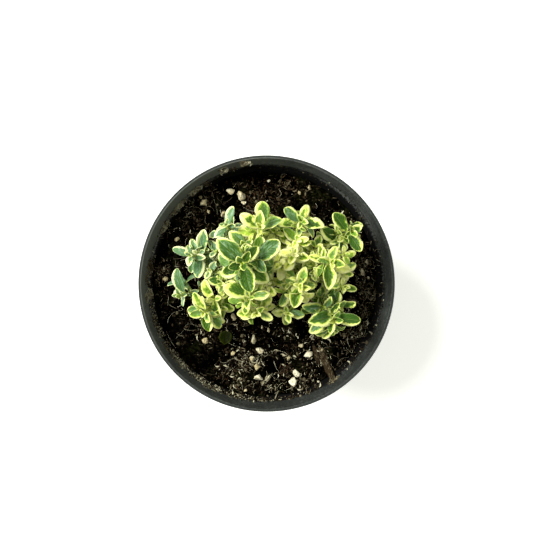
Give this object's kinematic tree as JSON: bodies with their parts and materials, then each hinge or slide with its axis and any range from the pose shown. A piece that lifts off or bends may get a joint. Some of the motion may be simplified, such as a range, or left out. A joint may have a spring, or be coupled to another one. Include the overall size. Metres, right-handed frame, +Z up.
{
  "type": "potted thyme",
  "caption": "Bushy clump of variegated thyme with small paired leaves, growing in a round black nursery pot filled with potting mix.",
  "frame": {"origin": "middle of the pot's foot, on the surface that the pot stands on", "axes": "+Z up along the pot's axis; the lower side of the soil's surface lies at 42 degrees from +X towards +Y"},
  "size_m": [0.11, 0.11, 0.1427],
  "materials": {
    "black_plastic": "satin",
    "potting_mix": "matte",
    "silver_leaf": "satin",
    "gold_leaf": "satin",
    "green_leaf": "satin"
  },
  "bodies": {
    "root": {"pot": "black_plastic", "soil": "potting_mix", "spray_crown_tall": "green_leaf", "spray_crown_back": "green_leaf", "spray_back_middle": "gold_leaf", "spray_back_left": "silver_leaf", "spray_left_upper": "silver_leaf", "spray_left_lower": "silver_leaf", "spray_front_left": "gold_leaf", "spray_left_inner": "green_leaf", "spray_left_shaded": "silver_leaf", "spray_front_middle": "gold_leaf", "spray_front_edge": "gold_leaf", "spray_back_right": "green_leaf", "spray_middle_back": "green_leaf", "spray_right_upper": "green_leaf", "spray_right_middle": "gold_leaf", "spray_right_edge": "gold_leaf", "spray_right_lower": "green_leaf", "spray_middle": "gold_leaf", "spray_middle_front": "gold_leaf", "spray_front_low": "green_leaf", "spray_right_front": "green_leaf", "spray_middle_shaded": "green_leaf", "spray_crown_front": "gold_leaf"}
  },
  "joints": []
}
